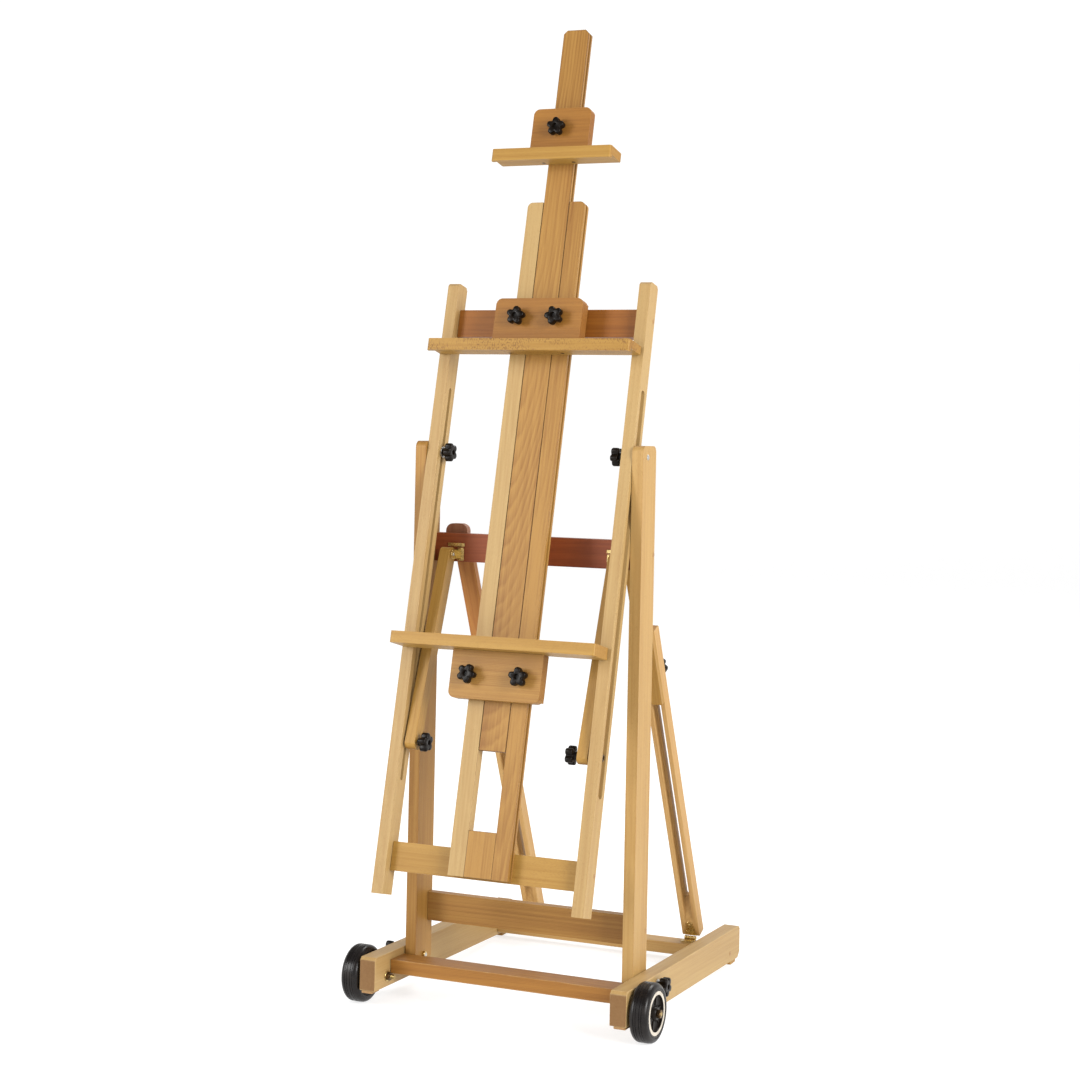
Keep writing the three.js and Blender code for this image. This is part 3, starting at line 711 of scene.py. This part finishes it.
def hub_mesh(sign):
    """A dished black hub with a flat cream band round its face, along +Z outward."""
    rim, band, width = WHEEL["rim"], WHEEL["band"], WHEEL_WIDTH
    bore, boss, dish = HUB["bore"], HUB["boss"], HUB["dish"]
    face = [
        (bore, width + 0.8), (boss - 0.8, width + 0.8), (boss, width), (boss + 1.5, width - dish + 1),
        (boss + 3, width - dish), (band - 3, width - dish), (band - 1, width - dish + 1.2),
        (band - 0.4, width - 1.2), (band, width - 0.7), (rim - 0.5, width - 0.7), (rim, width - 1.2),
    ]
    back = [
        (rim, 1.2), (rim - 0.5, 0.7), (band, 0.7), (band - 1, dish - 1), (band - 3, dish), (boss + 3, dish),
        (boss + 1, dish - 1), (boss, -1.6), (boss - 0.6, -2),
    ]
    mesh = turned(f"hub_skin_{sign}", [(bore, -2)] + face + back, 96, closed=False)
    for polygon in mesh.polygons:
        reach = math.hypot(polygon.center.x, polygon.center.y) / MM
        on_face = polygon.center.z > (width - 1.1) * MM
        polygon.material_index = 1 if on_face and band < reach < rim - 0.4 else 0
    return mesh


def dress_wheels():
    for side, sign in SIDES.items():
        axle = joint_at(f"wheel_{side}_roll")
        aim = sign * X
        inner_face = Vector((sign * WHEEL["inner"] * MM, axle.y, axle.z))
        body = f"wheel_{side}"
        tyre = piece(f"tyre_{side}_skin", tyre_mesh(sign), [RUBBER], inner_face, aim, body)
        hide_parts(f"tyre_{side}")
        hub = piece(f"hub_{side}_skin", hub_mesh(sign), [BLACK, CREAM], inner_face, aim, body)
        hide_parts(f"hub_{side}")
        dress_ribs(side, inner_face, aim, body)
        dress_axle(side, sign, axle)


def dress_ribs(side, inner_face, aim, body):
    """Short ribs that stand on the hub's dished floor and point to its boss."""
    reach = RIB["reach"]
    floor = WHEEL_WIDTH - HUB["dish"] - RIB["sunk"]
    for index in range(RIB["count"]):
        angle = 2 * math.pi / RIB["count"] * index + RIB["first"]
        out = turn_to(aim) @ (Vector((reach * math.cos(angle), reach * math.sin(angle), floor)) * MM)
        rib = slab("hub_rib", RIB["long"], RIB["wide"], RIB["thick"], RIB["corner"], RIB["arris"])
        piece(f"hub_{side}_rib_{index}", rib, [BLACK], inner_face + out, aim, body, angle)


def dress_axle(side, sign, axle):
    """A brass rod through runner and hub, with a nut at each end and a washer at the inner one."""
    aim = sign * X

    def along(distance):
        return Vector((sign * distance * MM, axle.y, axle.z))

    rod = rod_mesh(f"axle_{side}_rod_mesh", AXLE_RADIUS, AXLE["outer_end"] - AXLE["inner_end"])
    rod_at = along(AXLE["inner_end"])
    shaft = piece(f"axle_{side}_rod", rod, [BRASS_THREAD], rod_at, aim, "base")
    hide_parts(f"axle_{side}")
    nut = nut_mesh(AXLE_NUT["across"], AXLE_NUT["thick"])
    washer = washer_mesh(AXLE_RADIUS + 0.2, AXLE_WASHER["radius"], AXLE_WASHER["thick"])
    fittings = {"inner_washer": (washer, BRASS, 0.0), "inner_nut": (nut, BRONZE, 0.0),
                "outer_nut": (nut, BRASS, 0.3)}
    for name, (mesh, look, twist) in fittings.items():
        piece(f"axle_{side}_{name}", mesh, [look], along(AXLE[name]), aim, "base", twist)


# ---------- screws, hinges and brackets ----------

def screw_mesh():
    """A countersunk head with a cross recess, its face on Z = 0."""
    head = bpy.data.objects.new("screw_blank", turned("screw_blank", [
        (1.6, -2.4), (3.6, -0.5), (3.9, -0.15), (3.7, 0.1), (2.4, 0.35), (1.0, 0.45), (0.3, 0.47)], 40))
    cross = bmesh.new()
    for turn in (0, math.pi / 2):
        made = bmesh.ops.create_cube(cross, size=1)["verts"]
        bmesh.ops.scale(cross, verts=made, vec=Vector((4.2, 0.95, 2.4)) * MM)
        bmesh.ops.rotate(cross, verts=made, cent=(0, 0, 0), matrix=Matrix.Rotation(turn, 3, "Z"))
    cutter_mesh = bpy.data.meshes.new("screw_cross")
    cross.to_mesh(cutter_mesh)
    cross.free()
    cutter = bpy.data.objects.new("screw_cross", cutter_mesh)
    for helper in (head, cutter):
        bpy.context.scene.collection.objects.link(helper)
    cut = head.modifiers.new("cross", "BOOLEAN")
    cut.operation = "DIFFERENCE"
    cut.object = cutter
    cut.use_self = True
    bpy.context.view_layer.update()
    mesh = bpy.data.meshes.new_from_object(head.evaluated_get(bpy.context.evaluated_depsgraph_get()))
    mesh.name = "cross_screw"
    for helper in (head, cutter):
        bpy.data.objects.remove(helper)
    return mesh


SCREW = screw_mesh()


def screw(name, at, aim, body, material=BRASS, size=1.0, twist=0.0):
    made = piece(name, SCREW.copy(), [material], at, aim, body, twist)
    made.scale = (size, size, size)


def wedge(name, wide, narrow, height, thick, arris=0.4):
    """A plate that lies on Z = 0 and narrows along +Y."""
    def outline(inset, level):
        low, high = wide / 2 - inset, narrow / 2 - inset
        foot, head = inset - height / 2, height / 2 - inset
        points = [(-low, foot), (low, foot), (low, foot + 5), (high + 1.5, head - 3), (high - 1.5, head),
                  (1.5 - high, head), (-high - 1.5, head - 3), (-low, foot + 5)]
        return [Vector((x, y, level)) * MM for x, y in points]

    return mesh_of(name, [outline(inset, level) for inset, level in plate_levels(thick, arris)])


# The hinge's half width, its leaves, and where they lie: the bar's top below the pivot, and the strut's front
# behind it.
HINGE = {"half": 12, "leaf": 24, "strut_leaf": 30, "thick": 1.8, "bar": -4.3, "strut": 3.9}
KNUCKLES = {"count": 5, "radius": 3.4, "edge": 0.4, "gap": 0.3}
# The screws in each leaf: sideways and behind the pivot, or sideways and above it.
BAR_SCREWS = ((-7, -8), (7, -8), (0, -18))
STRUT_SCREWS = ((-6.5, 11), (6.5, 11), (0, 26))


def dress_hinges():
    """A butt hinge at each strut's foot: one leaf on the rear bar, the other on the strut's front."""
    width, leaf_long, thick = 2 * HINGE["half"], HINGE["leaf"], HINGE["thick"]
    for side in SIDES:
        at = joint_at(f"strut_swing_{side}")
        strut_body = f"strut_channel_{side}"
        bar = slab(f"hinge_{side}_bar_leaf_mesh", width, leaf_long, thick, 2.5)
        bar_at = spot(at, STAND_UP, 0, -leaf_long / 2 - 0.5, HINGE["bar"])
        lower = piece(f"hinge_{side}_bar_leaf", bar, [BRASS], bar_at, STAND_UP, "base")
        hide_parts(f"strut_hinge_{side}")
        front = -behind(STRUT_UP)
        leaf = wedge(f"hinge_{side}_strut_leaf_mesh", width, 10, HINGE["strut_leaf"], 1.5)
        leaf_at = on_strut(side, 0, HINGE["strut"], HINGE["strut_leaf"] / 2 + 3)
        piece(f"hinge_{side}_strut_leaf", leaf, [BRASS], leaf_at, front, strut_body, along=X)
        dress_knuckles(side, at, strut_body)
        for index, (x, back) in enumerate(BAR_SCREWS):
            screw(f"hinge_{side}_bar_screw_{index}", spot(at, STAND_UP, x, back - 0.5, HINGE["bar"] + thick),
                  STAND_UP, "base", size=0.8, twist=0.7 * index)
        for index, (x, high) in enumerate(STRUT_SCREWS):
            screw(f"hinge_{side}_strut_screw_{index}", on_strut(side, x, HINGE["strut"] - 1.5, high), front,
                  strut_body, size=0.75, twist=0.5 * index)


def dress_knuckles(side, at, strut_body):
    """The hinge's knuckles, which belong to the bar's leaf and the strut's leaf by turns."""
    radius, edge, gap = KNUCKLES["radius"], KNUCKLES["edge"], KNUCKLES["gap"]
    pitch = 2 * HINGE["half"] / KNUCKLES["count"]
    length = pitch - gap
    for index in range(KNUCKLES["count"]):
        body = "base" if index % 2 == 0 else strut_body
        barrel = turned(f"hinge_{side}_knuckle_mesh_{index}", [
            (radius - 0.5, 0), (radius, edge), (radius, length - edge), (radius - 0.5, length)], 32)
        start = at + (pitch * index - HINGE["half"] + gap / 2) * MM * X
        piece(f"hinge_{side}_knuckle_{index}", barrel, [BRASS], start, X, body)


# The link's inner face, the middle rail's front and the pivot, in millimetres in the stand, and the plate.
BRACKET = {"cheek": 156.6, "rail": 42.7, "pivot": 22, "wide": 14, "high": 24, "thick": 2}
STRAP = {"size": (34, 6.5, 1.8), "corner": 1.5, "above": 17}
EAR = {"size": (17, 28), "corner": 8, "reach": 14.5}
BRACKET_PIN = {"radius": 3, "length": 25}


def dress_link_brackets():
    """A bracket on the middle rail: a plate with two screws, a strap over the link, an ear and a pin."""
    cheek, wide, high, thick = (BRACKET[key] for key in ("cheek", "wide", "high", "thick"))
    rail = BRACKET["rail"] - BRACKET["pivot"]
    for side, sign in SIDES.items():
        at = joint_at(f"link_swing_{side}")
        centre = Vector((0, at.y, at.z))

        def place(x, back, above):
            return spot(centre, STAND_UP, sign * x, back, above)

        def plate(part, mesh, where, normal, along):
            return piece(f"bracket_{side}_{part}", mesh, [BRASS], where, normal, "uprights",
                         along=along)

        back_plate = slab(f"bracket_{side}_plate_mesh", wide, high, thick, 2.5)
        flat = plate("plate", back_plate, place(cheek - wide / 2, rail, 0), -STAND_BACK, X)
        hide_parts(f"link_bracket_{side}")
        strap = slab(f"bracket_{side}_strap_mesh", *STRAP["size"], STRAP["corner"])
        plate("strap", strap, place(cheek + 2, rail, STRAP["above"]), -STAND_BACK, X)
        ear = slab(f"bracket_{side}_ear_mesh", *EAR["size"], thick, EAR["corner"])
        plate("ear", ear, place(cheek - thick, rail - EAR["reach"], 0), sign * X, STAND_UP)
        pin = rod_mesh(f"bracket_{side}_pin_mesh", BRACKET_PIN["radius"], BRACKET_PIN["length"])
        pin_at = place(cheek - 4, 0, 0)
        piece(f"bracket_{side}_pin", pin, [STEEL], pin_at, sign * X, "uprights")
        for index, level in enumerate((-8, 8)):
            screw(f"bracket_{side}_screw_{index}", place(cheek - 8.5, rail - thick, level), -STAND_BACK,
                  "uprights", size=0.7, twist=index)


# The bolts' parts start at these distances from the middle plane.
PIVOT_BOLT = {"shank": 179, "washer": 178.9, "cap": 225.2}
PIVOT_SHANK = {"radius": 4, "length": 47}
SLOT_BOLT_START = 181.3


def dress_bolts():
    """The bolts at the H-frame's pivots and in the side rails' slots."""
    for side, sign in SIDES.items():
        out = sign * X
        shank = rod_mesh(f"pivot_{side}_shank_mesh", PIVOT_SHANK["radius"], PIVOT_SHANK["length"])
        start = on_frame(sign * PIVOT_BOLT["shank"], 0, 0)
        made = piece(f"pivot_{side}_shank", shank, [STEEL_THREAD], start, out, "frame_pivots")
        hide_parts(f"pivot_bolt_{side}")
        washer = washer_mesh(PIVOT_SHANK["radius"] + 0.2, 10, 1.8)
        cap = turned(f"pivot_{side}_cap_mesh", [(4.6, 0), (4.9, 0.3), (4.5, 1.0), (3.0, 1.6), (0.4, 1.8)], 40)
        for part, mesh in (("washer", washer), ("cap", cap)):
            start = on_frame(sign * PIVOT_BOLT[part], 0, 0)
            piece(f"pivot_{side}_{part}", mesh, [STEEL], start, out, "frame_pivots")
        bolt_at = joint_at(f"link_knob_{side}_turn")
        start = Vector((sign * SLOT_BOLT_START * MM, bolt_at.y, bolt_at.z))
        bolt = turned(f"slot_{side}_bolt_mesh", [
            (3.6, 0), (4, 0.4), (4, 14.9), (7, 15.1), (7, 18.6), (6.2, 20.0), (3.2, 20.2), (2.9, 18.4),
            (0.3, 18.3)], 40)
        sunk = piece(f"slot_{side}_bolt", bolt, [BRONZE], start, out, f"slot_bolt_{side}")
        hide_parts(f"slot_bolt_{side}")


# ---------- plugs, pads and screws in the wood ----------

def plug_mesh():
    return turned("wood_plug", [(4.4, -0.6), (4.6, 0), (4.2, 0.25), (0.3, 0.3)], 32)


def plug_wood():
    """End grain of a plug: darker than the board round it."""
    graph = Graph("plug_end_grain")
    speckle = graph.noise(graph.place(), (1600, 1600, 1600), detail=3).outputs["Fac"]
    colour = graph.mix(graph.remap(speckle, 0.35, 0.7), (0.34, 0.19, 0.066, 1), (0.20, 0.10, 0.031, 1))
    return graph.finish(Base_Color=colour, Roughness=graph.remap(speckle, *USUAL, 0.45, 0.6),
                        Normal=graph.bump(speckle, 0.3, 0.1 * MM))


PLUG = plug_wood()


# Each plug's body, the axes it is placed in, its distance from the middle plane, and how far it is behind and
# above their origin.
PLUGS = {
    "upright_{}_plug_high": ("uprights", on_stand, 225, 58, 794),
    "upright_{}_plug_low": ("uprights", on_stand, 225, 56, 128),
    "runner_{}_plug": ("base", on_stand, 258.5, 413, 17),
    "rail_{}_plug_high": ("h_frame", on_frame, 203, 12, 252),
    "rail_{}_plug_low": ("h_frame", on_frame, 203, 12, -728),
}


def dress_plugs():
    """End-grain plugs over the screws that join rails, runners and boards."""
    for side, sign in SIDES.items():
        for name, (body, place, x, back, high) in PLUGS.items():
            at = place(sign * x, back, high)
            piece(name.format(side), plug_mesh(), [PLUG], at, sign * X, body)


FRONT_PAD = {"size": (22, 28, 5), "corner": 2, "arris": 0.6, "place": (245, -94, 0.2)}


def dress_pads():
    """A low pad under each runner's front end."""
    x, back, high = FRONT_PAD["place"]
    for side, sign in SIDES.items():
        pad = slab(f"front_pad_{side}_mesh", *FRONT_PAD["size"], FRONT_PAD["corner"], FRONT_PAD["arris"])
        at = on_stand(sign * x, back, high)
        piece(f"front_pad_{side}", pad, [PLUG], at, -STAND_UP, "base", along=X)


# Each ledge's screws: the height of the face that they sit in, which way it faces, and how far from the
# middle they are. All are on one line in front of the H-frame's pivots.
LEDGE_SCREWS = {"top_holder": (544.5, -1, 30), "middle_shelf": (180.5, -1, 52), "lower_shelf": (-343, 1, 52)}
SCREW_LINE = -32


def dress_ledge_screws():
    """The dark screw heads that hold each ledge to its block, seen from below or above."""
    for name, (high, way, apart) in LEDGE_SCREWS.items():
        for index, offset in enumerate((-apart, apart)):
            at = on_frame(offset, SCREW_LINE, high + way * 0.05)
            screw(f"{name}_screw_{index}", at, way * FRAME_UP, name, BRONZE, twist=0.8 * index)


# The pin's length, the radius of its shank and heads, and the middle of the strut head in the stand.
STRUT_PIN = {"length": 46, "shank": 3, "head": 4.6, "x": 169, "back": 91, "high": 800}


def dress_strut_pins():
    """The pin through each strut head's cheeks, with a round head on both sides."""
    length, shank, head = (STRUT_PIN[key] for key in ("length", "shank", "head"))
    profile = [
        (head - 1.2, 0), (head, 0.5), (head, 1.2), (shank, 1.4), (shank, length - 1.4), (head, length - 1.2),
        (head, length - 0.5), (head - 1.2, length),
    ]
    for side, sign in SIDES.items():
        pin = turned(f"strut_{side}_pin_mesh", profile, 32)
        at = on_stand(sign * STRUT_PIN["x"] - length / 2, STRUT_PIN["back"], STRUT_PIN["high"])
        piece(f"strut_{side}_pin", pin, [STEEL], at, X, "uprights")


# ---------- floor, light and camera ----------

# The floor in metres: it is flat out to a radius, and then turns up into a wall.
FLOOR = {"inner": 1.5, "flat": 7.0, "turn": 2.5, "wall": 6.0, "points": 96}


def studio_floor():
    """A pale seamless floor that turns up into a wall far from the easel on every side."""
    flat, turn, points = FLOOR["flat"], FLOOR["turn"], FLOOR["points"]
    profile = [(FLOOR["inner"], 0.0), (flat, 0.0)]
    for step in range(1, 13):
        angle = math.pi / 2 * step / 12
        profile.append((flat + turn * math.sin(angle), turn - turn * math.cos(angle)))
    profile.append((flat + turn, FLOOR["wall"]))
    shape = bmesh.new()
    rows = [[shape.verts.new(point) for point in ring_of(radius / MM, level / MM, points)]
            for radius, level in profile]
    for lower, upper in zip(rows, rows[1:]):
        for index in range(points):
            after = (index + 1) % points
            shape.faces.new((lower[index], upper[index], upper[after], lower[after]))
    shape.faces.new(rows[0])
    mesh = bpy.data.meshes.new("studio_floor")
    shape.to_mesh(mesh)
    shape.free()
    mesh.polygons.foreach_set("use_smooth", [True] * len(mesh.polygons))
    mesh.materials.append(floor_paint())
    floor = bpy.data.objects.new("studio_floor", mesh)
    bpy.context.scene.collection.objects.link(floor)


def floor_paint():
    """Pale grey that also glows, so that the floor comes out white."""
    graph = Graph("pale_floor")
    speckle = graph.noise(graph.place(), (30, 30, 30), detail=3).outputs["Fac"]
    colour = graph.mix(graph.remap(speckle, *USUAL), (0.43, 0.43, 0.43, 1), (0.41, 0.41, 0.41, 1))
    return graph.finish(Base_Color=colour, Roughness=0.9, Specular_IOR_Level=0.0,
                        Emission_Color=(1, 1, 1, 1), Emission_Strength=0.69)


def soft_box(name, at, target, size, power):
    light = bpy.data.lights.new(name, "AREA")
    light.shape = "RECTANGLE"
    light.size, light.size_y = size
    light.energy = power
    made = bpy.data.objects.new(name, light)
    bpy.context.scene.collection.objects.link(made)
    made.matrix_world = Matrix.Translation(at) @ turn_to(Vector(at) - Vector(target))


def studio_light():
    """Three soft boxes round the easel, aimed at its middle or a little lower, and a dim white air."""
    middle = (0, 0, 0.85)
    soft_box("key_left", (-2.8, -3.3, 2.1), (0, 0, 0.7), (1.4, 2.0), 136)
    soft_box("fill_right", (3.5, -1.7, 2.0), middle, (1.8, 2.2), 190)
    soft_box("back_top", (0.5, 2.6, 4.0), middle, (2.5, 2.0), 130)
    world = bpy.data.worlds.new("studio_air")
    world.use_nodes = True
    air = world.node_tree.nodes["Background"].inputs
    air["Color"].default_value = (1, 1, 1, 1)
    air["Strength"].default_value = 0.30
    bpy.context.scene.world = world
    bpy.context.scene.view_settings.view_transform = "Standard"


def studio_camera():
    """A long lens from the front right at chest height, looking almost level."""
    data = bpy.data.cameras.new("camera")
    data.sensor_width = 36
    data.lens = 73.12
    data.shift_y = -0.1238
    data.clip_end = 60
    camera = bpy.data.objects.new("camera", data)
    camera.location = (1.6589, -3.6693, 1.2213)
    camera.rotation_euler = (math.radians(90 - 2.04), 0, math.radians(24.61))
    bpy.context.scene.collection.objects.link(camera)
    bpy.context.scene.camera = camera


# ---------- the scene ----------

studio_camera()
studio_floor()
studio_light()
dress_boards()
dress_knobs()
dress_wheels()
dress_hinges()
dress_link_brackets()
dress_bolts()
dress_plugs()
dress_pads()
dress_ledge_screws()
dress_strut_pins()
